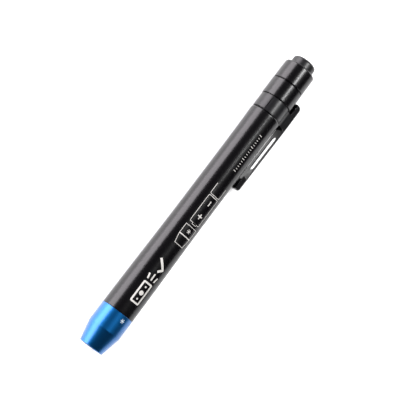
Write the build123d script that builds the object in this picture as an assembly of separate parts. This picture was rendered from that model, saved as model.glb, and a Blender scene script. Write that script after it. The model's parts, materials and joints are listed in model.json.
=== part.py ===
from build123d import *
import math
import os

# Ultraviolet inspection penlight for checking banknotes: a blue head with the light, a black barrel
# with two cells in line, a pocket clip on a ring, and a screw-on tail cap with a push button.
#
# Every piece is first modelled along the pen's own axis, X, which starts at the front rim and runs
# to the tail. place() then lays the finished pen on a table, where it rests on its head and on the
# clip's edge, with the origin on the table under the middle of the pen's outline.

# ---------------------------------------------------------------- driving dimensions, millimetres

# Cells and the tube that holds them
CELL_DIAMETER = 10.5          # AAA size
CELL_LENGTH = 44.5            # over the terminal
CELL_SLEEVE = 0.15            # printed sleeve round the can
CELL_TERMINAL_R = 1.9
CELL_TERMINAL_H = 1.0
CELL_TERMINAL_FLANGE_R = 3.4
CELL_TERMINAL_FLANGE = 0.3
CELL_TERMINAL_ROUND = 0.3
CELL_SLEEVE_SHORT = 0.3       # bare can left at the negative end
CELL_COUNT = 2
CELL_PLAY = 0.15              # radial gap between cell and bore

WAIST_WALL = 1.12             # barrel wall at the slim waist
FRONT_FLARE = 0.42            # how much larger the front end's radius is than the waist's
REAR_FLARE = 0.26             # and the rear end's
FRONT_SWELL_LENGTH = 52.6     # from the front end to the waist
REAR_SWELL_LENGTH = 17.5      # from the waist to the rear end
SWELL_START_PULL = 0.36       # curve handles of the front swell, as shares of its length
SWELL_END_PULL = 0.62
SWELL_START_DROP = 0.04
BARREL_FRONT_CHAMFER = 0.12
BARREL_REAR_ROUND = 0.9

# Joint between head and barrel
SPIGOT_WALL = 0.8             # the barrel's front spigot screws into the head
THREAD_PLAY = 0.05            # radial gap of every plain stand-in thread
THREAD_RUNOUT = 0.3           # the barrel's thread goes on this far past the neck
HEAD_ORING_OFFSET = 1.0       # O-ring's middle ahead of the barrel's front end

# Head
HEAD_STEP = 0.06              # head radius over barrel radius
HEAD_LENGTH = 17.1
CONE_LENGTH = 8.57
FRONT_RIM_R = 5.12
HEAD_REAR_CHAMFER = 0.15
RIM_CHAMFER = 0.15
LIP = 0.8                     # front lip that holds the window
APERTURE_R = 4.1
LIGHT_BORE_R = 4.7
LIGHT_FIT = 0.1               # radial gap round window, reflector and board

GASKET = 0.4
WINDOW = 1.2
REFLECTOR_LENGTH = 6.8
REFLECTOR_BACK_R = 1.65       # opening for the light source
REFLECTOR_RIM = 0.3           # width of the flat front rim
LED_SIZE = 3.5
LED_HEIGHT = 0.8
LED_LENS_R = 1.35
CENTRING_RING_R = 3.2
CENTRING_RING = 1.0
CENTRING_PLAY = 0.05
LED_BOARD = 1.0

HOLDER_FLANGE = 1.2
HOLDER_SKIRT = 3.2
HOLDER_WALL = 0.55
HOLDER_FIT = 0.1              # radial gap of the holder in the head and in the barrel
HOLDER_LEDGE = 1.5            # depth from the flange to the driver board
DRIVER_CHIP = (0.9, 3.0, 3.0)           # height and the two sides
DRIVER_CHIP_OFFSET = 0.9
DRIVER_INDUCTOR = (1.1, 2.6, 2.0)
DRIVER_INDUCTOR_OFFSET = -1.7
DRIVER_CAPACITOR = (0.7, 0.8, 1.4)
DRIVER_CAPACITOR_OFFSET = 2.0
HOLDER_LEDGE_WIDTH = 0.45
DRIVER_BOARD = 0.8
DRIVER_FIT = 0.1
LEAD_INSET = 0.8              # lead pins' middles from the pocket's wall
LEAD_R = 0.35
LEAD_HOLE_R = 0.6
RETAINER_WIDTH = 1.3
FRONT_CONTACT_R = 1.5
FRONT_CONTACT_ROUND = 0.4
CONTACT_WASHER_PLAY = 0.4     # radial gap between washer and board retainer
CONTACT_WASHER = 0.3
CONTACT_STANDOFF = 1.8        # front contact's height over the driver board

# O-rings are round sections seated in rectangular grooves
ORING = 0.5
ORING_GROOVE_PLAY = 0.05
ORING_RUNNING_GAP = 0.02      # radial gap where an O-ring slides on another piece
ORING_SQUEEZE = 0.05          # how much a fixed O-ring is flattened
ORING_CORNER = 0.4            # corner radius as a share of its section

# Tail collar: threaded neck, ring seat and front section of the cap
NECK_THREAD_HEIGHT = 0.22     # neck radius over the barrel's bore
NECK_WALL = 0.92
NECK_GAP = 0.7                # from the rear cell to the neck's front end
NECK_LENGTH = 8.3             # the part that screws into the barrel
NECK_ORING_OFFSET = 1.6       # O-ring's middle from the barrel's rear end
NECK_CHAMFER = 0.35
RING_SEAT = 6.7
COLLAR_STEP = 0.045           # collar radius over the barrel's rear radius
COLLAR_LENGTH = 7.75
COLLAR_CHAMFER = 0.3
COLLAR_SPIGOT = 3.2
COLLAR_SPIGOT_WALL = 0.95
COLLAR_WALL_AT = 3.0          # inner wall's front face from the collar's front face
COLLAR_WALL = 1.2
COLLAR_WALL_HOLE_R = 2.6      # the plunger comes through here
THREAD_PITCH = 0.75
THREAD_TURNS = 6

# End cap and button
CAP_GROOVE = 0.4
END_CAP_STEP = 0.065          # end cap radius under the collar's
END_CAP_LENGTH = 8.55
END_CAP_WALL = 0.86
END_CAP_REAR_WALL = 1.4
END_CAP_ROUND = 0.9
END_CAP_LIP = 0.85            # lip that keeps the button's flange in
BUTTON_PLAY = 0.08
BUTTON_PROUD = 3.85
BUTTON_ROUND = 1.3
BUTTON_DOME_RADIUS = 38.0
BUTTON_FLANGE = 1.1
BUTTON_FLANGE_PLAY = 0.2
BUTTON_WALL = 1.0
BUTTON_STEM_R = 2.0
BUTTON_SEAT_GAP = 0.05
BUTTON_TRAVEL = 1.6

# Switch in the collar
SWITCH_FIT = 0.1
SWITCH_LENGTH = 7.0
SWITCH_WALL = 1.1
SWITCH_FLOOR = 0.6
SWITCH_BOARD = 0.8
GROUND_RING = 1.2
GROUND_RING_WIDTH = 1.6
PLUNGER_R = 1.5
PLUNGER_PLAY = 0.1
PLUNGER_FLANGE_PLAY = 0.5
PLUNGER_FLANGE = 1.0
PLUNGER_OUT = 3.4             # plunger's end over the switch housing
PLUNGER_REST_GAP = 0.5        # flange to the housing's roof
BRIDGE = 0.3                  # thickness of the moving contact
BRIDGE_HOLE_PLAY = 0.125      # radial gap round the plunger's spring, which passes through
FIXED_CONTACT = (0.8, 1.2)    # section of each contact post
FIXED_CONTACT_INSET = 0.6     # posts' middles from the plunger flange's edge
CONTACT_GAP = 0.05            # left between the contacts at full travel

CONTACT_SPRING_PLAY = 0.45    # between spring and ground ring
CONTACT_SPRING_WIRE = 0.6
CONTACT_SPRING_TURNS = 6
PLUNGER_SPRING_GAP = 0.425    # between the plunger's spring and the contact posts
PLUNGER_SPRING_WIRE = 0.35
PLUNGER_SPRING_TURNS = 4
SPRING_END_GAP = 0.02         # left at each end of a spring

# Pocket clip, formed from one sheet
CLIP_SHEET = 0.55
RING_PLAY = 0.06              # radial gap between ring and neck
RING_END_PLAY = 0.15          # axial gap at each end of the ring
CLIP_WIDTH = 5.6
CLIP_RISE_AT_RING = 3.675     # strap's outer face over the collar's surface, at the ring
CLIP_RISE_AT_TIP = 3.53       # and over the waist's surface, at the free end
CLIP_TIP_FROM_RING = 31.0     # free end ahead of the barrel's rear end
CLIP_OVERHANG = 5.1           # how far the strap runs back over the collar
CLIP_FLANGE_DEPTH = 2.6       # depth of the turned-in sides at both ends
CLIP_BEND = 0.9               # outer bend radius along the strap
CLIP_TIP_ROUND = 1.3
CLIP_TAIL_ROUND = 1.8
CLIP_TIP_FLANGE_LENGTH = 5.6
CLIP_RING_FLANGE_START = 0.7  # sides begin this far ahead of the barrel's rear end
CLIP_FLANGE_SLOPE = 1.0       # lean of the cut ends of the sides
CLIP_FOOT_BEND = 3.0          # outer bend radius where the sides run into the ring
SLOT_LENGTH = 16.5
SLOT_WIDTH = 2.4
SLOT_FROM_TIP = 10.7          # slot's front end from the clip's free end

# Cutting shapes run this far past what they cut
OVERCUT = 1.0

# ---------------------------------------------------------------- worked-out radii and stations

cell_r = CELL_DIAMETER / 2
bore_r = cell_r + CELL_PLAY
waist_r = bore_r + WAIST_WALL
barrel_front_r = waist_r + FRONT_FLARE
barrel_rear_r = waist_r + REAR_FLARE
head_r = barrel_front_r + HEAD_STEP
spigot_r = bore_r + SPIGOT_WALL
head_bore_r = spigot_r + THREAD_PLAY
light_r = LIGHT_BORE_R - LIGHT_FIT
holder_skirt_r = bore_r - HOLDER_FIT
holder_pocket_r = holder_skirt_r - HOLDER_WALL
holder_ledge_r = holder_pocket_r - HOLDER_LEDGE_WIDTH
retainer_r = holder_pocket_r - THREAD_PLAY
retainer_bore_r = retainer_r - RETAINER_WIDTH
contact_washer_r = retainer_bore_r - CONTACT_WASHER_PLAY

neck_r = bore_r + NECK_THREAD_HEIGHT
neck_bore_r = neck_r - NECK_WALL
barrel_thread_r = neck_r + THREAD_PLAY
collar_r = barrel_rear_r + COLLAR_STEP
end_cap_r = collar_r - END_CAP_STEP
end_cap_bore_r = end_cap_r - END_CAP_WALL
collar_spigot_r = end_cap_bore_r - THREAD_PLAY
collar_rear_bore_r = collar_spigot_r - COLLAR_SPIGOT_WALL
button_r = end_cap_bore_r - END_CAP_LIP
button_flange_r = end_cap_bore_r - BUTTON_FLANGE_PLAY
button_seal_r = button_r + ORING_RUNNING_GAP + ORING - ORING_SQUEEZE
switch_r = neck_bore_r - SWITCH_FIT
plunger_flange_r = switch_r - SWITCH_WALL - PLUNGER_FLANGE_PLAY
fixed_contact_y = plunger_flange_r - FIXED_CONTACT_INSET
plunger_spring_outer = fixed_contact_y - FIXED_CONTACT[0] / 2 - PLUNGER_SPRING_GAP
bridge_hole_r = plunger_spring_outer + BRIDGE_HOLE_PLAY
ground_ring_r = neck_bore_r - THREAD_PLAY
contact_spring_r = (
    ground_ring_r - GROUND_RING_WIDTH - CONTACT_SPRING_PLAY - CONTACT_SPRING_WIRE / 2
)
clip_outer_at_ring = collar_r + CLIP_RISE_AT_RING
clip_outer_at_tip = waist_r + CLIP_RISE_AT_TIP

x_gasket = LIP
x_window = x_gasket + GASKET
x_reflector = x_window + WINDOW
x_ring = x_reflector + REFLECTOR_LENGTH
x_led_board = x_ring + CENTRING_RING
x_led = x_led_board - LED_HEIGHT
x_holder = x_led_board + LED_BOARD
x_spigot = x_holder + HOLDER_FLANGE
x_driver = x_spigot + HOLDER_LEDGE
x_driver_back = x_driver + DRIVER_BOARD
x_holder_end = x_spigot + HOLDER_SKIRT
x_cells = x_driver_back + CONTACT_STANDOFF
x_cells_end = x_cells + CELL_COUNT * CELL_LENGTH

x_barrel = HEAD_LENGTH
x_neck = x_cells_end + NECK_GAP
x_barrel_end = x_neck + NECK_LENGTH
x_collar = x_barrel_end + RING_SEAT
x_collar_end = x_collar + COLLAR_LENGTH
x_end_cap = x_collar_end + CAP_GROOVE
x_rear = x_end_cap + END_CAP_LENGTH
x_tip = x_rear + BUTTON_PROUD

x_inner_wall = x_collar + COLLAR_WALL_AT
x_switch = x_inner_wall - SWITCH_LENGTH
x_switch_board = x_switch - SWITCH_BOARD
x_ground_ring = x_switch_board - GROUND_RING
x_plunger_flange = x_inner_wall - SWITCH_FLOOR - PLUNGER_REST_GAP - PLUNGER_FLANGE
x_bridge = x_plunger_flange - BRIDGE
x_plunger_end = x_inner_wall + PLUNGER_OUT
x_button_seat = x_rear - END_CAP_REAR_WALL
x_neck_oring = x_barrel_end - NECK_ORING_OFFSET
x_cap_oring = x_end_cap + COLLAR_SPIGOT / 2
x_button_seal = x_rear - END_CAP_REAR_WALL / 2

# ---------------------------------------------------------------- how the pen lies on the table

bend_centre_out = clip_outer_at_ring - CLIP_BEND
bend_centre_side = CLIP_WIDTH / 2 - CLIP_BEND
bend_centre_distance = math.hypot(bend_centre_out, bend_centre_side)
bend_centre_angle = math.atan2(bend_centre_side, bend_centre_out)
# The clip's edge touches the table when its bend reaches as low as the head does.
clip_from_down = math.acos((head_r - CLIP_BEND) / bend_centre_distance) + bend_centre_angle
clip_reach = (
    bend_centre_out * math.sin(clip_from_down)
    + bend_centre_side * math.cos(clip_from_down)
    + CLIP_BEND
)
axis_y = (clip_reach - head_r) / 2
axis_z = head_r
clip_roll = 180 - math.degrees(clip_from_down)


def place(shape):
    """Lay a piece on the table: the origin is under the middle of the pen's outline."""
    return Pos(-x_tip / 2, axis_y, axis_z) * Rot(clip_roll, 0, 0) * shape


# ---------------------------------------------------------------- small helpers


def turned(*points):
    """A turned piece from its half outline, given as (station, radius) points."""
    return revolve(make_face(Polyline(*points, close=True)), Axis.X, 360)


def rod(x0, x1, radius):
    return turned((x0, 0), (x1, 0), (x1, radius), (x0, radius))


def tube(x0, x1, outer, inner):
    return turned((x0, inner), (x1, inner), (x1, outer), (x0, outer))


def oring(x_middle, inner, outer):
    """An O-ring with rounded corners that fills the gap between two radii."""
    section = Pos(x_middle, (inner + outer) / 2) * RectangleRounded(
        ORING, outer - inner, ORING_CORNER * min(ORING, outer - inner)
    )
    return revolve(section, Axis.X, 360)


def fixed_oring_inner(outer):
    return outer - ORING + ORING_SQUEEZE


def groove(x_middle, inner, outer):
    half = ORING / 2 + ORING_GROOVE_PLAY
    return tube(x_middle - half, x_middle + half, outer, inner)


def block(x0, x1, width, height, y=0.0, z=0.0):
    return Pos((x0 + x1) / 2, y, z) * Box(x1 - x0, width, height)


def coil(x0, x1, radius, wire, turns):
    """A round-wire coil spring that fits between two stations."""
    start = x0 + wire / 2 + SPRING_END_GAP
    height = x1 - x0 - wire - 2 * SPRING_END_GAP
    path = Pos(start, 0, 0) * Rot(0, 90, 0) * Helix(pitch=height / turns, height=height, radius=radius)
    section = Plane(origin=path @ 0, z_dir=path % 0) * Circle(wire / 2)
    return sweep(section, path=path, is_frenet=True)


def round_edges_at(shape, x, radius, size, cut=fillet):
    """Round or chamfer the circular edge at a station and a radius."""
    near = [
        edge
        for edge in shape.edges().filter_by(GeomType.CIRCLE)
        if abs(edge.center().X - x) < 1e-4 and abs(edge.radius - radius) < 1e-4
    ]
    return cut(near, size)


# ---------------------------------------------------------------- head


def head_shell():
    outer = turned((0, 0), (0, FRONT_RIM_R), (CONE_LENGTH, head_r), (x_barrel, head_r), (x_barrel, 0))
    outer = round_edges_at(outer, 0, FRONT_RIM_R, RIM_CHAMFER, chamfer)
    outer = round_edges_at(outer, x_barrel, head_r, HEAD_REAR_CHAMFER, chamfer)
    shell = outer - rod(-OVERCUT, LIP, APERTURE_R)
    shell -= rod(LIP, x_holder, LIGHT_BORE_R)
    shell -= rod(x_holder, x_barrel + OVERCUT, head_bore_r)
    return shell


def reflector():
    """A solid cup whose inside is a parabola with its focus at the light source."""
    front_r = light_r - REFLECTOR_RIM
    focus = (front_r**2 - REFLECTOR_BACK_R**2) / (4 * REFLECTOR_LENGTH)
    vertex = x_reflector + front_r**2 / (4 * focus)
    middle = (vertex - front_r * REFLECTOR_BACK_R / (4 * focus), (front_r + REFLECTOR_BACK_R) / 2)
    front = (x_reflector, front_r)
    back = (x_ring, REFLECTOR_BACK_R)
    sides = Polyline(back, (x_ring, light_r), (x_reflector, light_r), front)
    curve = Bezier(front, middle, back)
    return revolve(make_face(curve + sides), Axis.X, 360)


def centring_ring():
    hole = block(x_ring, x_led_board, LED_SIZE + 2 * CENTRING_PLAY, LED_SIZE + 2 * CENTRING_PLAY)
    return rod(x_ring, x_led_board, CENTRING_RING_R) - hole


def led_lens():
    dome = Pos(x_led, 0, 0) * Sphere(LED_LENS_R)
    return dome & block(x_led - 2 * LED_LENS_R, x_led, 4 * LED_LENS_R, 4 * LED_LENS_R)


def led_holder():
    holder = rod(x_holder, x_spigot, head_bore_r - HOLDER_FIT)
    holder += tube(x_spigot, x_holder_end, holder_skirt_r, holder_pocket_r)
    holder += tube(x_spigot, x_driver, holder_skirt_r, holder_ledge_r)
    for y in lead_places():
        holder -= Pos(0, y, 0) * rod(x_holder - OVERCUT, x_spigot + OVERCUT, LEAD_HOLE_R)
    return holder


def lead_places():
    offset = holder_ledge_r - LEAD_INSET
    return (-offset, offset)


def lead_pins():
    return Compound([Pos(0, y, 0) * rod(x_holder, x_driver, LEAD_R) for y in lead_places()])


def on_driver(size, y, z):
    """A component that stands on the driver board's front face."""
    height, width, depth = size
    return block(x_driver - height, x_driver, width, depth, y, z)


def driver_capacitors():
    places = [side * DRIVER_CAPACITOR_OFFSET for side in (-1, 1)]
    return Compound([on_driver(DRIVER_CAPACITOR, y, DRIVER_INDUCTOR_OFFSET) for y in places])


def board_retainer():
    return tube(x_driver_back, x_holder_end, retainer_r, retainer_bore_r)


def front_contact():
    contact = rod(x_driver_back, x_cells, FRONT_CONTACT_R)
    return round_edges_at(contact, x_cells, FRONT_CONTACT_R, FRONT_CONTACT_ROUND)


def head_parts():
    washer = tube(x_driver_back, x_driver_back + CONTACT_WASHER, contact_washer_r, FRONT_CONTACT_R)
    return {
        "head_shell": head_shell(),
        "window_gasket": tube(x_gasket, x_window, light_r, APERTURE_R),
        "filter_window": rod(x_window, x_reflector, light_r),
        "reflector": reflector(),
        "centring_ring": centring_ring(),
        "led_package": block(x_led, x_led_board, LED_SIZE, LED_SIZE),
        "led_lens": led_lens(),
        "led_board": rod(x_led_board, x_holder, light_r),
        "led_holder": led_holder(),
        "lead_pins": lead_pins(),
        "driver_board": rod(x_driver, x_driver_back, holder_pocket_r - DRIVER_FIT),
        "driver_chip": on_driver(DRIVER_CHIP, 0, DRIVER_CHIP_OFFSET),
        "driver_inductor": on_driver(DRIVER_INDUCTOR, 0, DRIVER_INDUCTOR_OFFSET),
        "driver_capacitors": driver_capacitors(),
        "board_retainer": board_retainer(),
        "contact_washer": washer,
        "front_contact": front_contact(),
        "head_oring": oring(x_barrel - HEAD_ORING_OFFSET, fixed_oring_inner(head_bore_r), head_bore_r),
    }


# ---------------------------------------------------------------- barrel and cells


def barrel_tube():
    x_waist = x_barrel + FRONT_SWELL_LENGTH
    x_rise = x_barrel_end - REAR_SWELL_LENGTH
    start = (x_barrel, barrel_front_r)
    # The front swell leaves the head almost level and runs out level at the waist.
    swell = Bezier(
        start,
        (x_barrel + SWELL_START_PULL * FRONT_SWELL_LENGTH, barrel_front_r - SWELL_START_DROP),
        (x_barrel + SWELL_END_PULL * FRONT_SWELL_LENGTH, waist_r),
        (x_waist, waist_r),
    )
    waist = Line((x_waist, waist_r), (x_rise, waist_r))
    rise = TangentArc((x_rise, waist_r), (x_barrel_end, barrel_rear_r), tangent=(1, 0))
    inner = Polyline(
        (x_barrel_end, barrel_rear_r),
        (x_barrel_end, 0),
        (x_spigot, 0),
        (x_spigot, spigot_r),
        (x_barrel, spigot_r),
        start,
    )
    solid = revolve(make_face(swell + waist + rise + inner), Axis.X, 360)
    solid = round_edges_at(solid, x_barrel_end, barrel_rear_r, BARREL_REAR_ROUND)
    solid = round_edges_at(solid, x_barrel, barrel_front_r, BARREL_FRONT_CHAMFER, chamfer)
    solid -= rod(x_spigot - OVERCUT, x_barrel_end + OVERCUT, bore_r)
    solid -= rod(x_neck - THREAD_RUNOUT, x_barrel_end + OVERCUT, barrel_thread_r)
    solid -= groove(x_barrel - HEAD_ORING_OFFSET, head_bore_r - ORING, spigot_r + OVERCUT)
    return solid


def cell_parts(name, x0):
    """One cell: a can, its raised terminal and the printed sleeve round it."""
    x_can = x0 + CELL_TERMINAL_H
    x_end = x0 + CELL_LENGTH
    can_r = cell_r - CELL_SLEEVE
    terminal = rod(x0, x_can, CELL_TERMINAL_R)
    terminal = round_edges_at(terminal, x0, CELL_TERMINAL_R, CELL_TERMINAL_ROUND)
    terminal += rod(x_can, x_can + CELL_TERMINAL_FLANGE, CELL_TERMINAL_FLANGE_R)
    can = rod(x_can, x_end, can_r) - rod(x_can, x_can + CELL_TERMINAL_FLANGE, CELL_TERMINAL_FLANGE_R)
    return {
        name + "_can": can,
        name + "_terminal": terminal,
        name + "_sleeve": tube(x_can, x_end - CELL_SLEEVE_SHORT, cell_r, can_r),
    }


# ---------------------------------------------------------------- tail collar, end cap and button


def tail_collar():
    collar = turned(
        (x_neck, neck_bore_r),
        (x_neck, neck_r),
        (x_collar, neck_r),
        (x_collar, collar_r),
        (x_collar_end, collar_r),
        (x_collar_end, collar_spigot_r),
        (x_collar_end + COLLAR_SPIGOT, collar_spigot_r),
        (x_collar_end + COLLAR_SPIGOT, collar_rear_bore_r),
        (x_inner_wall + COLLAR_WALL, collar_rear_bore_r),
        (x_inner_wall + COLLAR_WALL, COLLAR_WALL_HOLE_R),
        (x_inner_wall, COLLAR_WALL_HOLE_R),
        (x_inner_wall, neck_bore_r),
    )
    collar = round_edges_at(collar, x_neck, neck_r, NECK_CHAMFER, chamfer)
    collar = round_edges_at(collar, x_collar, collar_r, COLLAR_CHAMFER, chamfer)
    collar = round_edges_at(collar, x_collar_end, collar_r, HEAD_REAR_CHAMFER, chamfer)
    collar -= groove(x_neck_oring, barrel_thread_r - ORING, neck_r + OVERCUT)
    collar -= groove(x_cap_oring, end_cap_bore_r - ORING, collar_spigot_r + OVERCUT)
    return collar


def end_cap():
    cap = rod(x_end_cap, x_rear, end_cap_r)
    cap = round_edges_at(cap, x_rear, end_cap_r, END_CAP_ROUND)
    cap = round_edges_at(cap, x_end_cap, end_cap_r, HEAD_REAR_CHAMFER, chamfer)
    cap -= rod(x_end_cap - OVERCUT, x_button_seat, end_cap_bore_r)
    cap -= rod(x_button_seat - OVERCUT, x_rear + OVERCUT, button_r + BUTTON_PLAY)
    cap -= groove(x_button_seal, button_r, button_seal_r)
    return cap


def button():
    """Rubber-faced button: domed end, round shoulder, a flange that holds it in and a central stem."""
    x_seat = x_button_seat - BUTTON_SEAT_GAP
    rim = x_tip - button_r**2 / (2 * BUTTON_DOME_RADIUS)
    halfway = x_tip - button_r**2 / (8 * BUTTON_DOME_RADIUS)
    face = ThreePointArc((rim, button_r), (halfway, button_r / 2), (x_tip, 0))
    sides = Polyline(
        (x_tip, 0),
        (x_seat - BUTTON_FLANGE, 0),
        (x_seat - BUTTON_FLANGE, button_flange_r),
        (x_seat, button_flange_r),
        (x_seat, button_r),
        (rim, button_r),
    )
    solid = revolve(make_face(face + sides), Axis.X, 360)
    solid = round_edges_at(solid, rim, button_r, BUTTON_ROUND)
    x_hollow = x_tip - 2 * BUTTON_WALL - BUTTON_ROUND
    solid -= tube(x_seat - BUTTON_FLANGE - OVERCUT, x_hollow, button_r - BUTTON_WALL, BUTTON_STEM_R)
    return solid + rod(x_plunger_end, x_hollow, BUTTON_STEM_R)


# ---------------------------------------------------------------- switch in the collar


def switch_housing():
    housing = rod(x_switch, x_inner_wall, switch_r)
    housing -= rod(x_switch + SWITCH_FLOOR, x_inner_wall - SWITCH_FLOOR, switch_r - SWITCH_WALL)
    housing -= rod(x_inner_wall - SWITCH_FLOOR - OVERCUT, x_inner_wall + OVERCUT, PLUNGER_R + PLUNGER_PLAY)
    for side in (-1, 1):
        housing -= contact_post(side, x_switch + SWITCH_FLOOR + OVERCUT)
    return housing


def contact_post(side, x1):
    thick, wide = FIXED_CONTACT
    return block(x_switch, x1, thick, wide, side * fixed_contact_y)


def fixed_contacts():
    x1 = x_bridge - BUTTON_TRAVEL - CONTACT_GAP
    return Compound([contact_post(side, x1) for side in (-1, 1)])


def tail_parts():
    plunger = rod(x_plunger_flange, x_plunger_end, PLUNGER_R)
    plunger += rod(x_plunger_flange, x_plunger_flange + PLUNGER_FLANGE, plunger_flange_r)
    neck_seal_r = barrel_thread_r - ORING_RUNNING_GAP
    neck_seal = oring(x_neck_oring, barrel_thread_r - ORING + ORING_RUNNING_GAP, neck_seal_r)
    return {
        "tail_collar": tail_collar(),
        "end_cap": end_cap(),
        "neck_oring": neck_seal,
        "cap_oring": oring(x_cap_oring, fixed_oring_inner(end_cap_bore_r), end_cap_bore_r),
        "button": button(),
        "button_seal": oring(x_button_seal, button_r + ORING_RUNNING_GAP, button_seal_r),
        "switch_housing": switch_housing(),
        "switch_board": rod(x_switch_board, x_switch, switch_r),
        "ground_ring": tube(
            x_ground_ring, x_switch_board, ground_ring_r, ground_ring_r - GROUND_RING_WIDTH
        ),
        "fixed_contacts": fixed_contacts(),
        "switch_plunger": plunger,
        "moving_contact": tube(x_bridge, x_plunger_flange, plunger_flange_r, bridge_hole_r),
        "plunger_spring": coil(
            x_switch + SWITCH_FLOOR,
            x_plunger_flange,
            plunger_spring_outer - PLUNGER_SPRING_WIRE / 2,
            PLUNGER_SPRING_WIRE,
            PLUNGER_SPRING_TURNS,
        ),
        "contact_spring": coil(
            x_cells_end, x_switch_board, contact_spring_r, CONTACT_SPRING_WIRE, CONTACT_SPRING_TURNS
        ),
    }


# ---------------------------------------------------------------- pocket clip


def clip_channel(inset):
    """The strap and its turned-in sides as one solid, smaller all round by an inset."""
    x_tip_end = x_barrel_end - CLIP_TIP_FROM_RING + inset
    x_tail_end = x_collar + CLIP_OVERHANG - inset
    bottom = clip_outer_at_ring - CLIP_FLANGE_DEPTH - (OVERCUT if inset else 0)
    tip_bottom = bottom + clip_outer_at_tip - clip_outer_at_ring
    outline = make_face(
        Polyline(
            (x_tip_end, tip_bottom),
            (x_tip_end, clip_outer_at_tip - inset),
            (x_barrel_end, clip_outer_at_ring - inset),
            (x_tail_end, clip_outer_at_ring - inset),
            (x_tail_end, bottom),
            close=True,
        )
    )
    tip_corner = outline.vertices().sort_by(Axis.X)[:2].sort_by(Axis.Y)[-1]
    outline = fillet(tip_corner, CLIP_TIP_ROUND - inset)
    tail_corner = outline.vertices().sort_by(Axis.X)[-2:].sort_by(Axis.Y)[-1]
    outline = fillet(tail_corner, CLIP_TAIL_ROUND - inset)
    half = CLIP_WIDTH / 2 - inset
    solid = extrude(Plane.XZ * outline, amount=half, both=True)
    # Bend the long edges: every edge of the side faces but the open bottom one.
    rim = [
        edge
        for edge in solid.edges()
        if abs(abs(edge.center().Y) - half) < 1e-4 and not lies_along_bottom(edge, bottom, tip_bottom)
    ]
    return fillet(rim, CLIP_BEND - inset)


def lies_along_bottom(edge, bottom, tip_bottom):
    highest = max((edge @ 0).Z, (edge @ 1).Z)
    return highest < max(bottom, tip_bottom) + 1e-4


def ring_section(inset):
    """Cross-section over the ring: round band with a straight-sided channel standing on it."""
    band_r = neck_r + RING_PLAY + CLIP_SHEET
    half = CLIP_WIDTH / 2
    round_part = Circle(band_r)
    upright = Pos(0, clip_outer_at_ring / 2) * Rectangle(CLIP_WIDTH, clip_outer_at_ring)
    section = round_part + upright
    low = clip_outer_at_ring - OVERCUT
    foot = [v for v in section.vertices() if abs(abs(v.X) - half) < 1e-4 and v.Y < low]
    section = fillet(foot, CLIP_FOOT_BEND)
    top = [v for v in section.vertices() if v.Y > clip_outer_at_ring - 1e-4]
    section = fillet(top, CLIP_BEND)
    if inset:
        section = offset(section, -inset, kind=Kind.INTERSECTION)
    return section


def pocket_clip():
    x0 = x_barrel_end + RING_END_PLAY
    x1 = x_collar - RING_END_PLAY
    outer = clip_channel(0.0)
    tunnel = clip_channel(CLIP_SHEET)
    strap = outer - tunnel
    # Between the two ends the sides are cut away, which leaves the flat strap.
    x_free = x_barrel_end - CLIP_TIP_FROM_RING + CLIP_TIP_FLANGE_LENGTH
    x_ring_side = x_barrel_end - CLIP_RING_FLANGE_START
    low = clip_outer_at_tip - CLIP_FLANGE_DEPTH - OVERCUT
    high_tip = clip_outer_at_tip - CLIP_SHEET
    window = make_face(
        Polyline(
            (x_free + CLIP_FLANGE_SLOPE, low),
            (x_free, high_tip + strap_rise(x_free)),
            (x_ring_side, high_tip + strap_rise(x_ring_side)),
            (x_ring_side + 2 * CLIP_FLANGE_SLOPE, low),
            close=True,
        )
    )
    strap -= extrude(Plane.XZ * window, amount=CLIP_WIDTH, both=True)
    x_slot = x_barrel_end - CLIP_TIP_FROM_RING + SLOT_FROM_TIP + SLOT_LENGTH / 2
    slot = extrude(SlotOverall(SLOT_LENGTH, SLOT_WIDTH), amount=clip_outer_at_ring + OVERCUT)
    strap -= Pos(x_slot, 0, 0) * slot
    section = ring_section(0.0) - ring_section(CLIP_SHEET)
    ring = extrude(Plane.YZ * section, amount=x1 - x0)
    clear = extrude(Plane.YZ * ring_section(CLIP_SHEET), amount=x1 - x0)
    return strap - Pos(x0, 0, 0) * clear + Pos(x0, 0, 0) * ring


def strap_rise(x):
    """How much further out the strap is at a station than at its free end."""
    share = (x - (x_barrel_end - CLIP_TIP_FROM_RING)) / CLIP_TIP_FROM_RING
    return share * (clip_outer_at_ring - clip_outer_at_tip)


# ---------------------------------------------------------------- write every piece


def all_parts():
    parts = head_parts()
    parts["barrel_tube"] = barrel_tube()
    for number, name in enumerate(("front_cell", "rear_cell")):
        parts.update(cell_parts(name, x_cells + number * CELL_LENGTH))
    parts.update(tail_parts())
    parts["pocket_clip"] = pocket_clip()
    return parts


os.makedirs("parts", exist_ok=True)
for node, shape in all_parts().items():
    export_step(place(shape), "parts/" + node + ".step")
print("pen length", round(x_tip, 3), "axis at y", round(axis_y, 4), "z", round(axis_z, 4))
print("cap travel", THREAD_PITCH * THREAD_TURNS, "over", 360 * THREAD_TURNS, "degrees")
print("clip turned from upright by", round(clip_roll, 3), "degrees")
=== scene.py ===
# %% [markdown]
# # A pocket ultraviolet light for checking banknotes
# The pen lies on a white table. Its blue head holds the light behind a dark filter, the black
# barrel holds two cells in line, and the cap at the tail has a push button and a swivelling
# pocket clip. Most pieces come from the engineering model as exact shapes, so this lesson is
# about finish: what turned, anodised metal, enamel, rubber and glass look like, and a few small
# pieces that need a modeller's hand.

import json
import math

import bpy
from mathutils import Matrix, Vector


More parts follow.
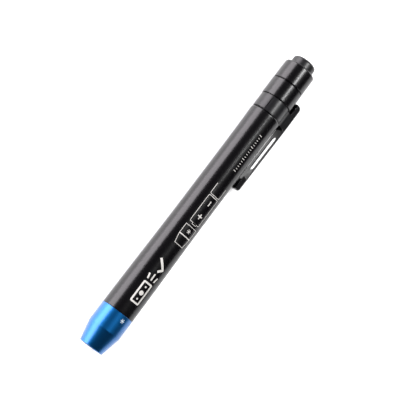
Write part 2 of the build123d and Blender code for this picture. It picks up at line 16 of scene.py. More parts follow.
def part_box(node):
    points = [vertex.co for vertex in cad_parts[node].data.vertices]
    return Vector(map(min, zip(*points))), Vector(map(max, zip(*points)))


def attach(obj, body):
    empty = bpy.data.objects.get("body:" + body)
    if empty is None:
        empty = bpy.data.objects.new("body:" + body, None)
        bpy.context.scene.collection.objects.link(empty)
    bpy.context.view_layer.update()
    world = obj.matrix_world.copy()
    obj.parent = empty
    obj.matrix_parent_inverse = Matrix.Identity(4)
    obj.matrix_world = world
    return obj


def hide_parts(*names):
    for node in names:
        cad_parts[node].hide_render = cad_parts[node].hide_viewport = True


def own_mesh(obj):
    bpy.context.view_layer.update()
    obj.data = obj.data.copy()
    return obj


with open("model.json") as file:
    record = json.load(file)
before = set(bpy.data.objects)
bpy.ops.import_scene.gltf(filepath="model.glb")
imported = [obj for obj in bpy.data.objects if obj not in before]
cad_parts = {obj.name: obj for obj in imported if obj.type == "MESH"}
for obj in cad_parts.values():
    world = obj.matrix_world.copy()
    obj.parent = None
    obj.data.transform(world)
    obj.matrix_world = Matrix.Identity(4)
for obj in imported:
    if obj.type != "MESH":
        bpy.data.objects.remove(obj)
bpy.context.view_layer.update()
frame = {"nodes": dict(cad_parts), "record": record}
nodes = frame["nodes"]
print("pieces loaded:", len(nodes))

# %% [markdown]
# A turned object is easiest to describe along its own axis. `station` gives the place on the X axis
# of a distance, in millimetres, from the front rim. The axis's height and side come from the head,
# which is round. Every mark round the barrel is placed by its distance round it, from straight up
# towards the side the pocket clip is on.

# %% Where the pen's own axis lies
MM = 0.001
head_low, head_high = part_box("head_shell")
FRONT = head_low.x
AXIS = (head_low + head_high) / 2
HEAD_R = (head_high.z - head_low.z) / 2


def station(mm):
    return FRONT + mm * MM


def station_of(x):
    """The station, in millimetres from the front rim, of a place on the X axis."""
    return round((x - FRONT) / MM, 3)


print("head radius", round(HEAD_R / MM, 3), "axis", [round(v / MM, 3) for v in AXIS])

# %% [markdown]
# ## Materials as arithmetic
# A material is a small calculation that runs at every point of a surface. Blender draws it as nodes
# and wires, but it is easier to read as arithmetic. `Wire` stands for one value in the calculation,
# and adding or multiplying wires makes the Math nodes. `Finish` is one whole material: a Principled
# shader and one method, `node`, that makes any other node.


# %% Values that add their own Math nodes
class Wire:
    def __init__(self, finish, socket):
        self.finish = finish
        self.socket = socket

    def math(self, operation, *others, **settings):
        values = dict(enumerate((self,) + others))
        return self.finish.node("ShaderNodeMath", dict(settings, operation=operation), values)

    def reflected(self, operation, other):
        return self.finish.node("ShaderNodeMath", {"operation": operation}, {0: other, 1: self})

    def __add__(self, other):
        return self.math("ADD", other)

    def __sub__(self, other):
        return self.math("SUBTRACT", other)

    def __mul__(self, other):
        return self.math("MULTIPLY", other)

    def __truediv__(self, other):
        return self.math("DIVIDE", other)

    def __radd__(self, other):
        return self.reflected("ADD", other)

    def __rsub__(self, other):
        return self.reflected("SUBTRACT", other)

    def __rmul__(self, other):
        return self.reflected("MULTIPLY", other)

    def __rtruediv__(self, other):
        return self.reflected("DIVIDE", other)

    def __neg__(self):
        return self * -1.0

    def __abs__(self):
        return self.math("ABSOLUTE")


# %% [markdown]
# `Finish` sets a number that is the same all over straight on the shader. Only what changes from
# place to place arrives by a wire: colour, roughness, metal and the bumps.


# %% One material and its node tree
class Finish:
    made = {}

    def __init__(self, name, **constants):
        self.material = bpy.data.materials.new(name)
        self.material.use_nodes = True
        self.tree = self.material.node_tree
        self.tree.nodes.clear()
        output = self.tree.nodes.new("ShaderNodeOutputMaterial")
        self.shader = self.tree.nodes.new("ShaderNodeBsdfPrincipled")
        self.tree.links.new(self.shader.outputs[0], output.inputs["Surface"])
        for socket, value in constants.items():
            self.set(socket.replace("_", " ").title().replace("Ior", "IOR"), value)
        Finish.made[name] = self

    def set(self, socket, value):
        if isinstance(value, Wire):
            self.tree.links.new(value.socket, self.shader.inputs[socket])
        else:
            if isinstance(value, tuple):
                value = value + (1.0,)
            self.shader.inputs[socket].default_value = value

    def node(self, kind, settings=None, sockets=None, out=0):
        """Any node: its settings first, then the values or wires of its sockets."""
        made = self.tree.nodes.new(kind)
        for name, value in (settings or {}).items():
            if name == "stops":
                while len(made.color_ramp.elements) < len(value):
                    made.color_ramp.elements.new(0.5)
                for element, (place, colour) in zip(made.color_ramp.elements, value):
                    element.position = place
                    element.color = colour + (1.0,)
            else:
                setattr(made, name, value)
        for name, value in (sockets or {}).items():
            if isinstance(value, Wire):
                self.tree.links.new(value.socket, made.inputs[name])
            else:
                made.inputs[name].default_value = value
        return Wire(self, made.outputs[out])

    def mix(self, share, first, second):
        """A colour that goes from the first to the second as share goes from 0 to 1."""
        first, second = (c + (1.0,) if isinstance(c, tuple) else c for c in (first, second))
        return self.node("ShaderNodeMix", {"data_type": "RGBA"}, {0: share, 6: first, 7: second}, 2)

    def place(self):
        return self.node("ShaderNodeTexCoord", out="Object")

    def noise(self, per_mm, detail=2.0, vector=None, stretch=None):
        """Smooth noise from 0 to 1, with about this many blotches in a millimetre."""
        vector = vector or self.place()
        if stretch:
            vector = self.node("ShaderNodeMapping", None, {0: vector, 3: stretch})
        sockets = {"Vector": vector, "Scale": per_mm / MM, "Detail": detail}
        return self.node("ShaderNodeTexNoise", None, sockets)

    def bumps(self, height, depth_mm, strength=1.0):
        """Raises the surface by height times a depth in millimetres."""
        sockets = {"Strength": strength, "Distance": depth_mm * MM, "Height": height}
        self.set("Normal", self.node("ShaderNodeBump", None, sockets))


# %% [markdown]
# A pattern that goes round the pen needs two numbers at each point: how far along the pen it is,
# and how far round. The arc tangent of the two cross-wise coordinates gives the angle. Both are
# turned into millimetres, so the marks below can be drawn as on squared paper.


# %% Coordinates along and round the pen
def pen_paper(finish, radius_mm):
    """(millimetres from the front rim, millimetres round from straight up towards the clip)."""
    from_axis = {0: finish.place(), 1: tuple(-v for v in (FRONT, AXIS.y, AXIS.z))}
    centred = finish.node("ShaderNodeVectorMath", {"operation": "ADD"}, from_axis)
    x, y, z = (
        finish.node("ShaderNodeSeparateXYZ", None, {0: centred}, out) for out in ("X", "Y", "Z")
    )
    return x / MM, (-y).math("ARCTAN2", z) * radius_mm


def inside(distance, soft=0.07):
    """1 within a shape and 0 outside it, from the distance in millimetres to its edge."""
    return distance.math("MULTIPLY_ADD", -1.0 / soft, 0.5, use_clamp=True)


def both(a, b):
    return a.math("MAXIMUM", b)


def either(*shapes):
    joined = shapes[0]
    for shape in shapes[1:]:
        joined = joined.math("MINIMUM", shape)
    return joined


def panel(u, v, centre, half, corner=0.0):
    """Distance to a rectangle with rounded corners."""
    du = abs(u - centre[0]) - (half[0] - corner)
    dv = abs(v - centre[1]) - (half[1] - corner)
    if not corner:
        return both(du, dv)
    out = du.math("MAXIMUM", 0.0), dv.math("MAXIMUM", 0.0)
    length = (out[0] * out[0] + out[1] * out[1]).math("SQRT")
    return length + both(du, dv).math("MINIMUM", 0.0) - corner


def disc(u, v, centre, radius):
    du, dv = u - centre[0], v - centre[1]
    return (du * du + dv * dv).math("SQRT") - radius


def stroke(u, v, start, end, width):
    """Distance to a straight line of a given width."""
    along = Vector(end) - Vector(start)
    length = along.length
    ax, ay = along.normalized()
    du, dv = u - start[0], v - start[1]
    run = du * ax + dv * ay
    off = dv * ax - du * ay
    return panel(run, off, (length / 2, 0.0), (length / 2, width / 2))


def outline(distance, width):
    return abs(distance + width / 2) - width / 2


print("pattern tools ready")

# %% [markdown]
# ## Anodised aluminium
# Anodising grows a thin glassy layer on aluminium, and a dye fills it. The blue shows metal
# through clear dye, so it is half metal, with a clear coat for the layer. The black dye hides
# the metal, and only the layer's own soft reflection is left. Both have a fine sandy grain from
# the blasting before the bath, and faint rings from the lathe.


# %% Blasted grain and lathe rings
def anodised(name, roughness, grain_depth, **constants):
    finish = Finish(name, **constants)
    grain = finish.noise(9.0, 2.0)
    rings = finish.noise(0.9, 3.0, stretch=(5.0, 0.05, 0.05))
    cloud = finish.noise(0.12, 2.0)
    finish.set("Roughness", roughness + (cloud - 0.5) * 0.05 + (grain - 0.5) * 0.08)
    finish.bumps(grain + rings * 0.5, grain_depth)
    return finish, grain, cloud


# %% A plain sign for light
def star(u, v, centre, reach, width):
    """Three short strokes that cross in the middle."""
    x, y = centre
    turns = (math.pi / 2, math.pi / 6, -math.pi / 6)
    arms = [(reach * math.cos(turn), reach * math.sin(turn)) for turn in turns]
    return either(*(stroke(u, v, (x - i, y - j), (x + i, y + j), width) for i, j in arms))


print("sign for light ready")

# %% The blue head, with a small printed symbol
COOL_PRINT = (0.60, 0.72, 0.80)
BLUE = (0.002, 0.16, 0.48)
BLUE_DEEP = (0.001, 0.14, 0.42)
PRINT = (0.66, 0.64, 0.61)

blue, _, blue_cloud = anodised(
    "blue_anodised", 0.42, 0.0012, coat_weight=1.0, coat_roughness=0.24, coat_ior=1.5
)
u, v = pen_paper(blue, HEAD_R / MM)
symbol = star(u, v, (14.87, 3.25), 0.95, 0.26)
symbol = inside(symbol) * inside(abs(v - 3.25) - 2.0)
blue.set("Base Color", blue.mix(symbol, blue.mix(blue_cloud, BLUE, BLUE_DEEP), COOL_PRINT))
blue.set("Metallic", 1.0 - symbol)
print("blue finish made")

# %% [markdown]
# The barrel carries laser marks: the laser burns the black dye away and leaves matt white lines.
# The first mark is a pictogram of what the light is for, a banknote, rays and a tick. Then come
# a diagram of how the cells go in, with their plus and minus ends, and a plain scale.


# %% The laser marks on the barrel
def banknote_mark(u, v):
    middle = 2.4
    note = either(
        outline(panel(u, v, (27.85, middle), (4.8, 2.2), 0.6), 0.7),
        disc(u, v, (27.85, middle), 0.95),
        disc(u, v, (25.1, middle), 0.38),
        disc(u, v, (30.6, middle), 0.38),
    )
    rays = either(
        stroke(u, v, (33.8, 0.8), (36.0, 0.3), 0.65),
        stroke(u, v, (33.8, middle), (36.8, middle), 0.65),
        stroke(u, v, (33.8, 4.0), (36.0, 4.5), 0.65),
    )
    tick = either(
        stroke(u, v, (38.0, 2.45), (39.8, 4.35), 0.95),
        stroke(u, v, (39.4, 4.35), (43.2, 0.4), 0.95),
    )
    return either(note, rays, tick)


def cell_diagram(u, v):
    middle, line = 3.05, 0.2
    lamp_front, lamp_waist, lamp_back = 51.2, 55.4, 59.9
    taper = both(
        panel(u, v, ((lamp_front + lamp_waist) / 2, middle), ((lamp_waist - lamp_front) / 2, 4.0)),
        abs(v - middle) - 2.35 - (u - lamp_front) * 0.2,
    )
    body = panel(u, v, ((lamp_waist + lamp_back) / 2, middle), ((lamp_back - lamp_waist) / 2, 3.15))
    lamp = either(
        outline(either(taper, body), line),
        stroke(u, v, (lamp_waist, middle - 3.1), (lamp_waist, middle + 3.1), line),
        star(u, v, (57.75, middle), 0.95, 0.24),
    )
    nub = panel(u, v, (61.4, middle), (0.5, 1.2), 0.3)
    first = either(nub, panel(u, v, (67.95, middle), (6.45, 2.75), 0.6))
    next_nub = panel(u, v, (74.6, middle), (0.5, 1.1), 0.3)
    second = either(next_nub, panel(u, v, (81.3, middle), (6.45, 2.75), 0.6))
    shown = both(outline(second, line), u - 79.8)
    signs = either(
        stroke(u, v, (64.0, middle), (66.2, middle), 0.5),
        stroke(u, v, (65.1, middle - 1.1), (65.1, middle + 1.1), 0.5),
        stroke(u, v, (70.2, middle), (72.4, middle), 0.5),
    )
    return either(lamp, outline(first, line), shown, signs)


def plain_scale(u, v):
    """A row of short strokes, with a longer one at every fifth."""
    start, middle, half_length = 87.5, 96.7, 9.3
    beat = (u - start).math("FLOORED_MODULO", 1.15) - 0.3
    fifth = (u - start).math("FLOORED_MODULO", 5.75) - 0.3
    short = both(abs(beat) - 0.12, abs(v - 3.2) - 0.42)
    tall = both(abs(fifth) - 0.14, abs(v - 3.05) - 0.65)
    return both(either(short, tall), abs(u - middle) - half_length)


black, _, black_cloud = anodised(
    "black_anodised", 0.23, 0.0012, metallic=0.0, specular_ior_level=0.56
)
BLACK = (0.0016, 0.0014, 0.0019)
BLACK_WARM = (0.0026, 0.0023, 0.0028)
u, v = pen_paper(black, 6.8)
marks = inside(either(banknote_mark(u, v), cell_diagram(u, v), plain_scale(u, v)))
marks = marks * inside(abs(v - 3.0) - 6.0) * inside(abs(u - 66.0) - 44.0)
black.set("Base Color", black.mix(marks, black.mix(black_cloud, BLACK, BLACK_WARM), PRINT))
print("black finish and its marks made:", len(black.tree.nodes), "nodes")

# %% [markdown]
# ## The other finishes
# Each one follows the way the real thing is made: baked enamel on the clip, moulded rubber on the
# button, a vacuum-bright reflector, dark filter glass and so on.


# %% Clip enamel, button rubber and seals
def moulded(name, colour, deep, roughness, per_mm, depth_mm, **constants):
    """Enamel, rubber or plastic: a fine even texture and a slightly uneven colour."""
    finish = Finish(name, **constants)
    skin = finish.noise(per_mm, 3.0)
    cloud = finish.noise(0.2, 2.0)
    finish.set("Base Color", finish.mix(cloud, colour, deep))
    finish.set("Roughness", roughness + (cloud - 0.5) * 0.08 + (skin - 0.5) * 0.06)
    finish.bumps(skin, depth_mm)
    return finish


enamel = moulded(
    "clip_black",
    (0.006, 0.006, 0.007),
    (0.010, 0.010, 0.011),
    0.3,
    5.0,
    0.0012,
    coat_roughness=0.16,
)
u, v = pen_paper(enamel, 6.8)
enamel.set("Coat Weight", inside(u - 111.0, 7.0))
enamel.shader.inputs["Coat IOR"].default_value = 1.75
moulded("button_black", (0.006, 0.006, 0.007), (0.012, 0.012, 0.013), 0.34, 4.0, 0.006)
moulded("seal_rubber", (0.012, 0.012, 0.012), (0.020, 0.020, 0.019), 0.5, 4.0, 0.004)
moulded("black_plastic", (0.014, 0.014, 0.015), (0.022, 0.022, 0.023), 0.45, 5.0, 0.003)
moulded("white_plastic", (0.74, 0.73, 0.70), (0.66, 0.65, 0.62), 0.4, 5.0, 0.003)
moulded("ceramic_white", (0.80, 0.80, 0.78), (0.72, 0.72, 0.70), 0.35, 8.0, 0.002)
moulded("capacitor_tan", (0.42, 0.28, 0.15), (0.34, 0.22, 0.12), 0.35, 8.0, 0.002)
moulded("chip_black", (0.018, 0.018, 0.020), (0.028, 0.028, 0.030), 0.5, 8.0, 0.003)
print("moulded finishes made")


# %% Bright metals
def metal(name, colour, deep, roughness, stretch, depth_mm=0.001):
    finish = Finish(name, metallic=1.0)
    brushed = finish.noise(4.0, 3.0, stretch=stretch)
    cloud = finish.noise(0.5, 3.0)
    finish.set("Base Color", finish.mix(cloud, colour, deep))
    finish.set("Roughness", roughness + (brushed - 0.5) * 0.12 + (cloud - 0.5) * 0.08)
    finish.bumps(brushed, depth_mm)
    return finish


metal("bare_aluminium", (0.80, 0.81, 0.82), (0.68, 0.69, 0.71), 0.28, (3.0, 0.2, 0.2))
metal("brass", (0.83, 0.62, 0.28), (0.70, 0.47, 0.19), 0.25, (1.0, 1.0, 1.0))
metal("spring_steel", (0.62, 0.60, 0.57), (0.46, 0.45, 0.44), 0.25, (1.0, 1.0, 1.0))
metal("cell_steel", (0.72, 0.72, 0.71), (0.60, 0.60, 0.59), 0.3, (0.2, 1.0, 1.0))
metal("reflector_bright", (0.90, 0.90, 0.91), (0.86, 0.86, 0.88), 0.06, (1.0, 1.0, 1.0), 0.0002)
metal("die_violet", (0.20, 0.16, 0.34), (0.14, 0.11, 0.26), 0.25, (1.0, 1.0, 1.0), 0.0005)
print("metals made")

# %% [markdown]
# The filter passes ultraviolet and stops almost all visible light, so it looks black with a
# violet cast. The light's own lens is clear. The circuit board's green lacquer lies over copper
# tracks, and the cells' sleeves carry a bright band at the plus end.

# %% Filter glass and lens
filter_glass = Finish(
    "filter_glass", transmission_weight=0.85, ior=1.52, coat_weight=0.4, coat_roughness=0.02
)
tint = filter_glass.noise(0.15, 2.0)
filter_glass.set("Base Color", filter_glass.mix(tint, (0.030, 0.006, 0.075), (0.042, 0.010, 0.110)))
filter_glass.set("Roughness", 0.02 + tint * 0.03)

lens_clear = Finish("lens_clear", transmission_weight=1.0, ior=1.46)
flow = lens_clear.noise(1.2, 2.0)
lens_clear.set("Base Color", lens_clear.mix(flow, (0.97, 0.97, 0.98), (0.93, 0.95, 0.97)))
lens_clear.set("Roughness", 0.01 + flow * 0.02)

# %% Circuit board and cell sleeve
board = Finish("board_green", coat_weight=0.6, coat_roughness=0.12)
tracks = board.node(
    "ShaderNodeTexBrick",
    {"offset": 0.35, "squash": 1.0},
    {
        "Vector": board.node(
            "ShaderNodeMapping", None, {0: board.place(), 2: (0.0, math.pi / 2, 0.0)}
        ),
        "Scale": 1.0 / MM,
        "Mortar Size": 0.09,
        "Mortar Smooth": 0.1,
        "Brick Width": 1.7,
        "Row Height": 0.8,
    },
    "Fac",
)
weave = board.noise(3.0, 2.0)
green = board.mix(weave, (0.010, 0.085, 0.030), (0.014, 0.110, 0.042))
board.set("Base Color", board.mix(tracks, green, (0.030, 0.190, 0.070)))
board.set("Roughness", 0.36 + weave * 0.1)
board.bumps(tracks, 0.02, 0.6)

sleeve = Finish("cell_sleeve", coat_weight=0.7, coat_roughness=0.08)
u, v = pen_paper(sleeve, 5.2)
CELL = 44.5
along = (u - 16.5).math("FLOORED_MODULO", CELL)
plus = either(
    stroke(along, v, (5.2, 0.0), (8.2, 0.0), 0.8), stroke(along, v, (6.7, -1.5), (6.7, 1.5), 0.8)
)
minus = stroke(along, v, (38.0, -1.5), (38.0, 1.5), 0.8)
gold_band = inside(along - 10.0)
foil = sleeve.noise(2.5, 3.0)
sleeve.set(
    "Base Color",
    sleeve.mix(
        inside(either(plus, minus)),
        sleeve.mix(gold_band, (0.025, 0.025, 0.030), (0.62, 0.36, 0.12)),
        (0.85, 0.85, 0.83),
    ),
)
sleeve.set("Metallic", 0.2 + gold_band * 0.6)
sleeve.set("Roughness", 0.22 + foil * 0.1)
sleeve.bumps(foil, 0.004)
print("finishes made:", len(Finish.made))

# %% [markdown]
# The engineering record says which finish each piece has. Every piece keeps one material, so the
# new ones simply take the place of the plain ones by name.

# %% Give each exact piece its finish
finish_of = {part["node"]: part["material_slot"] for part in frame["record"]["subparts"]}
for name, piece in nodes.items():
    piece.data.materials.clear()
    piece.data.materials.append(Finish.made[finish_of[name]].material)
print("pieces finished:", len(finish_of))

# %% [markdown]
# ## Pieces made by hand
# Some pieces need more shape than the engineering model gives them. They are made the way a
# modeller works: start from a primitive, shape it in edit mode, and finish it with a modifier.
# Every tool acts on whatever is selected, so `start` clears the selection and keeps the new
# piece in hand, and `settle` brings the finished piece's origin back to the middle of the world.


# %% Starting and settling a piece
def start(name, add, **where):
    """Adds a primitive with nothing else selected, and names it."""
    bpy.ops.object.select_all(action="DESELECT")
    add(**where)
    piece = bpy.context.object
    piece.name = piece.data.name = name
    return piece


def settle(piece, finish, body, stands_for=(), smooth=35):
    """Applies the place, gives the finish and fixes the piece to its body."""
    bpy.ops.object.mode_set(mode="OBJECT")
    bpy.ops.object.select_all(action="DESELECT")
    piece.select_set(True)
    bpy.context.view_layer.objects.active = piece
    bpy.ops.object.transform_apply(location=True, rotation=True, scale=True)
    bpy.ops.object.mode_set(mode="EDIT")
    bpy.ops.mesh.select_all(action="SELECT")
    bpy.ops.mesh.remove_doubles(threshold=1e-7)
    bpy.ops.mesh.normals_make_consistent(inside=False)
    bpy.ops.object.mode_set(mode="OBJECT")
    bpy.ops.object.shade_smooth_by_angle(angle=math.radians(smooth))
    piece.data.materials.clear()
    piece.data.materials.append(Finish.made[finish].material)
    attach(piece, body)
    for node in stands_for:
        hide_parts(node)
    print(piece.name, "faces:", len(piece.data.polygons))
    return piece


# %% [markdown]
# The collar is the front half of the tail cap. Its long neck screws into the barrel. A turned
# piece is a ring that is pulled along and resized at every step of its outline, then bridged
# back to where it began, which leaves a closed wall.


# %% The collar, turned from its outline
AXIS_POINT = Vector((0, AXIS.y, AXIS.z))


def turn_piece(name, steps, around=96):
    """A closed turned wall from (millimetres from the front rim, radius) steps."""
    first_x, first_r = steps[0]
    ring = start(
        name,
        bpy.ops.mesh.primitive_circle_add,
        vertices=around,
        radius=first_r * MM,
        location=(station(first_x), AXIS.y, AXIS.z),
        rotation=(0, math.pi / 2, 0),
    )
    bpy.ops.object.transform_apply(location=True, rotation=True, scale=True)
    bpy.ops.object.mode_set(mode="EDIT")
    bpy.ops.mesh.select_mode(type="EDGE")
    bpy.ops.mesh.select_all(action="SELECT")
    x, r = first_x, first_r
    for next_x, next_r in steps[1:]:
        bpy.ops.mesh.extrude_edges_move(
            TRANSFORM_OT_translate={"value": ((next_x - x) * MM, 0, 0)}
        )
        bpy.ops.transform.resize(value=(1, next_r / r, next_r / r), center_override=AXIS_POINT)
        x, r = next_x, next_r
    bpy.ops.mesh.select_all(action="DESELECT")
    bpy.ops.mesh.select_non_manifold()
    bpy.ops.mesh.bridge_edge_loops()
    return ring


neck_end, spigot_end = (station_of(corner.x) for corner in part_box("tail_collar"))
collar_end = station_of(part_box("end_cap")[0].x) - 0.4
ring_seat_end = 121.2
neck_groove = 112.9
cap_groove = collar_end + 2.0
collar_outline = [
    (neck_end, 4.7), (neck_end, 5.05), (neck_end + 0.25, 5.3),  # the neck's front end
    (neck_groove - 0.6, 5.3), (neck_groove - 0.4, 5.6), (neck_groove - 0.3, 5.62),
    (neck_groove - 0.3, 5.17), (neck_groove + 0.3, 5.17), (neck_groove + 0.3, 5.62),
    (ring_seat_end, 5.62), (ring_seat_end, 6.525), (ring_seat_end + 0.09, 6.735),
    (ring_seat_end + 0.3, 6.825), (collar_end - 0.15, 6.825), (collar_end, 6.675),
    (collar_end, 5.85), (cap_groove - 0.3, 5.85), (cap_groove - 0.3, 5.4),
    (cap_groove + 0.3, 5.4), (cap_groove + 0.3, 5.85), (spigot_end - 0.15, 5.85),
    (spigot_end, 5.7), (spigot_end, 4.9), (125.4, 4.9), (125.4, 2.6), (124.2, 2.6), (124.2, 4.7),
]  # fmt: skip
settle(
    turn_piece("collar", collar_outline), "black_anodised", "tail_cap", ["tail_collar"], smooth=20
)

# %% [markdown]
# A screw thread is a small ridge that climbs as it goes round. The Screw modifier does exactly that
# to any flat outline, so the ridge starts as a tapered rectangle, and its two open ends are filled.


# %% A ridge or wire that climbs round the axis
def climb(flat, pitch_mm, turns, steps):
    """Winds the flat outline in edit mode round its object's X axis, and closes both ends."""
    bpy.ops.object.mode_set(mode="OBJECT")
    screw = flat.modifiers.new("climb", "SCREW")
    screw.axis = "X"
    screw.angle = 2 * math.pi
    screw.screw_offset = pitch_mm * MM
    screw.iterations = turns
    screw.steps = screw.render_steps = steps
    bpy.ops.object.modifier_apply(modifier=screw.name)
    bpy.ops.object.mode_set(mode="EDIT")
    bpy.ops.mesh.select_all(action="SELECT")
    bpy.ops.mesh.fill_holes(sides=0)
    return flat


def ridge_outline(name, at_mm, root_r, crest_r, root_width, crest_width):
    """A flat tapered outline that stands on the axis's upper side."""
    middle = (root_r + crest_r) / 2
    flat = start(name, bpy.ops.mesh.primitive_plane_add, size=1.0)
    flat.location = (station(at_mm), AXIS.y, AXIS.z)
    bpy.ops.object.mode_set(mode="EDIT")
    bpy.ops.mesh.delete(type="ONLY_FACE")
    bpy.ops.mesh.select_all(action="SELECT")
    bpy.ops.transform.resize(value=(root_width * MM, (crest_r - root_r) * MM, 1))
    bpy.ops.transform.translate(value=(0, middle * MM, 0))
    bpy.ops.object.mode_set(mode="OBJECT")
    for corner in flat.data.vertices:
        corner.select = corner.co.y > middle * MM
    bpy.ops.object.mode_set(mode="EDIT")
    bpy.ops.transform.resize(value=(crest_width / root_width, 1, 1), center_override=flat.location)
    return flat


thread = climb(ridge_outline("neck_thread", 106.9, 5.26, 5.6, 0.62, 0.16), 0.75, 7, 72)
settle(thread, "black_anodised", "tail_cap")

# %% [markdown]
# The plunger's return spring is a round wire wound the same way. It shortens when the button is
# pressed.

# %% The plunger's spring
wire = start("plunger_coil", bpy.ops.mesh.primitive_circle_add, vertices=12, radius=0.175 * MM)
wire.location = (station(117.995), AXIS.y, AXIS.z)
bpy.ops.object.mode_set(mode="EDIT")
bpy.ops.transform.translate(value=(0, 1.4 * MM, 0))
coil = settle(climb(wire, 0.9775, 4, 40), "spring_steel", "tail_cap", ["plunger_spring"])
station(117.8)
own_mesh(coil)

# %% [markdown]
# Under its clear dome the light source is a small violet-grey chip with a thin gold wire at each
# side. The chip is a cube that is flattened, inset and pressed in at the middle; a wire is half a
# ring, cut through with bisect.

# %% The chip and its two wires
chip = start("emitter_chip", bpy.ops.mesh.primitive_cube_add, size=1.1 * MM)
chip.location = (station(9.33), AXIS.y, AXIS.z)
chip.scale = (0.13, 1, 1)
bpy.ops.object.transform_apply(location=True, rotation=True, scale=True)
for face in chip.data.polygons:
    face.select = face.normal.x < -0.9
bpy.ops.object.mode_set(mode="EDIT")
bpy.ops.mesh.select_mode(type="FACE")
bpy.ops.mesh.inset(thickness=0.09 * MM, depth=0)
bpy.ops.mesh.inset(thickness=0.03 * MM, depth=-0.02 * MM)
settle(chip, "die_violet", "barrel")

WIRE_STATION = 9.4
WIRE_ASIDE = 0.62
first_wire = start(
    "bond_wire_left",
    bpy.ops.mesh.primitive_torus_add,
    major_segments=48,
    minor_segments=10,
    major_radius=0.3 * MM,
    minor_radius=0.018 * MM,
    location=(station(WIRE_STATION), AXIS.y - WIRE_ASIDE * MM, AXIS.z),
)
bpy.ops.object.transform_apply(location=True, rotation=True, scale=True)
bpy.ops.object.mode_set(mode="EDIT")
bpy.ops.mesh.select_all(action="SELECT")
bpy.ops.mesh.bisect(
    plane_co=(station(WIRE_STATION), AXIS.y, AXIS.z),
    plane_no=(1, 0, 0),
    use_fill=True,
    clear_outer=True,
    threshold=1e-7,
)
bpy.ops.object.mode_set(mode="OBJECT")
bpy.ops.object.duplicate(linked=False)
second_wire = bpy.context.object
second_wire.name = second_wire.data.name = "bond_wire_right"
bpy.ops.transform.translate(value=(0, 2 * WIRE_ASIDE * MM, 0))
for wire in (first_wire, second_wire):
    settle(wire, "brass", "barrel")

# %% [markdown]
# The pocket clip is one sheet of steel, cut and folded. The exact shape is already right, but a
# stamped edge is never razor sharp, and a sharp edge catches no light. A copy is merged, because an
# exact piece is made of loose triangles, and a small bevel eases every cut edge.


# %% The pocket clip with eased edges
def eased_copy(node, name, width_mm, finish, body):
    piece = bpy.data.objects.new(name, nodes[node].data.copy())
    bpy.context.scene.collection.objects.link(piece)
    bpy.ops.object.select_all(action="DESELECT")
    piece.select_set(True)
    bpy.context.view_layer.objects.active = piece
    bpy.ops.object.mode_set(mode="EDIT")
    bpy.ops.mesh.select_all(action="SELECT")
    bpy.ops.mesh.remove_doubles(threshold=1e-6)
    bpy.ops.mesh.dissolve_limited(angle_limit=math.radians(0.5))
    bpy.ops.object.mode_set(mode="OBJECT")
    ease = piece.modifiers.new("ease", "BEVEL")
    ease.width = width_mm * MM
    ease.segments = 2
    ease.limit_method = "ANGLE"
    ease.angle_limit = math.radians(50)
    ease.use_clamp_overlap = True
    bpy.ops.object.modifier_apply(modifier=ease.name)
    return settle(piece, finish, body, [node], smooth=20)


eased_copy("pocket_clip", "clip_strap", 0.09, "clip_black", "clip")

# %% [markdown]
# The ring is rolled from the same strip, and the strip's end laps over it: half a millimetre
# thicker, with a soft edge that shows near the top of the pen. A flat rectangle is spun round
# the axis, which leaves a curved plate, and its long edges are beveled.

# %% The lap over the clip's ring
LAP_START, LAP_END = math.radians(-23.5), math.radians(200.0)
LAP_MIDDLE_R = 6.4
LAP_LENGTH, LAP_THICK = 6.1, 0.42
LAP_STATION = 117.85
lap_across = -math.sin(LAP_START) * LAP_MIDDLE_R * MM
lap_up = math.cos(LAP_START) * LAP_MIDDLE_R * MM
lap_place = AXIS_POINT + Vector((station(LAP_STATION), lap_across, lap_up))
lap = start(
    "ring_lap",
    bpy.ops.mesh.primitive_plane_add,
    size=1.0,
    location=lap_place,
    rotation=(LAP_START + math.pi / 2, 0, 0),
)
lap.scale = (LAP_LENGTH * MM, LAP_THICK * MM, 1)
bpy.ops.object.transform_apply(location=True, rotation=True, scale=True)
bpy.ops.object.mode_set(mode="EDIT")
bpy.ops.mesh.select_all(action="SELECT")
bpy.ops.mesh.spin(steps=72, angle=LAP_END - LAP_START, center=AXIS_POINT, axis=(1, 0, 0))
bpy.ops.object.mode_set(mode="OBJECT")
print("lap covers", round(math.degrees(LAP_END - LAP_START)), "degrees of the ring")
ease = lap.modifiers.new("ease", "BEVEL")
ease.width = 0.12 * MM
ease.segments = 2
ease.limit_method = "ANGLE"
ease.angle_limit = math.radians(50)
bpy.ops.object.modifier_apply(modifier=ease.name)
settle(lap, "clip_black", "clip", smooth=20)

# %% [markdown]
# ## Table, light and camera
# The table is plain and pale. A long soft box stands low on the far side of the pen and draws
# the broad grey stripe along it. A smaller one hangs above the tail. The wide light overhead
# only fills: it is hidden from reflections, so the top of the barrel stays black.

# %% The table
bpy.ops.mesh.primitive_plane_add(size=6.0, location=(0, 0, 0))
table = bpy.context.object
table.name = "table"
white = Finish("table_white", emission_color=(1.0, 1.0, 1.0), emission_strength=0.45)
speck = white.noise(0.02, 2.0)
white.set("Base Color", white.mix(speck, (0.80, 0.80, 0.81), (0.82, 0.82, 0.82)))
white.set("Roughness", 0.35 + speck * 0.05)
table.data.materials.append(white.material)


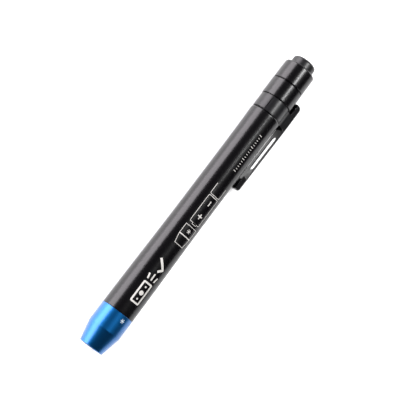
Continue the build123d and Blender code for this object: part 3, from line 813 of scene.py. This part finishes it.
# %% The lights
def soft_box(name, centre, target, width, height, brightness, colour=(1, 1, 1), reflected=True):
    """A rectangular light that faces its target. Brightness is per square metre of its face."""
    lamp = bpy.data.lights.new(name, "AREA")
    lamp.shape = "RECTANGLE"
    lamp.size, lamp.size_y = width, height
    lamp.energy = brightness * width * height
    lamp.color = colour
    stand = bpy.data.objects.new(name, lamp)
    bpy.context.scene.collection.objects.link(stand)
    stand.location = centre
    aim = (Vector(target) - Vector(centre)).normalized()
    stand.rotation_euler = aim.to_track_quat("-Z", "Y").to_euler()
    stand.visible_glossy = reflected
    return stand


soft_box("side_box", (0.05, 0.75, 0.34), (0.0, 0.0, 0.34), 1.5, 0.66, 18.5, (1.0, 0.95, 1.0))
soft_box("tail_box", (0.50, -0.40, 0.86), (0.04, 0.0, 0.0), 0.26, 0.40, 80.0)
soft_box("fill", (0.0, 0.0, 0.9), (0.0, 0.0, 0.0), 1.0, 1.0, 5.5, reflected=False)

world = bpy.data.worlds.new("studio")
world.use_nodes = True
world.node_tree.nodes["Background"].inputs["Color"].default_value = (0.012, 0.012, 0.014, 1)
bpy.context.scene.world = world

# %% [markdown]
# The camera looks almost straight down from half a metre, turned so that the pen points up and to
# the right. A long lens keeps the perspective gentle.

# %% The camera
lens = bpy.data.cameras.new("camera")
LENS_MM, SENSOR_MM = 119.2, 36.0
lens.lens = LENS_MM
lens.sensor_width = SENSOR_MM
lens.clip_start = 0.01
camera = bpy.data.objects.new("camera", lens)
bpy.context.scene.collection.objects.link(camera)
LEAN = Matrix.Rotation(math.radians(-5.5), 3, "X")
camera_right = LEAN @ Vector((0.5946, -0.79832, 0.09461)).normalized()
camera_back = LEAN @ Vector((-0.1571, 0.0, 0.98757))
camera_back = (camera_back - camera_back.dot(camera_right) * camera_right).normalized()
camera_up = camera_back.cross(camera_right)
AIM_STATION = 72.06
SHIFT_LEFT, SHIFT_DOWN, DISTANCE = 0.933, 0.349, 519.3
aim = Vector((station(AIM_STATION), AXIS.y, AXIS.z)) / MM
place = aim - SHIFT_LEFT * camera_right - SHIFT_DOWN * camera_up + DISTANCE * camera_back
turn = Matrix((camera_right, camera_up, camera_back)).transposed()
camera.matrix_world = Matrix.Translation(place * MM) @ turn.to_4x4()
bpy.context.scene.camera = camera
bpy.context.scene.view_settings.view_transform = "Standard"
print("camera at", [round(c, 1) for c in place])
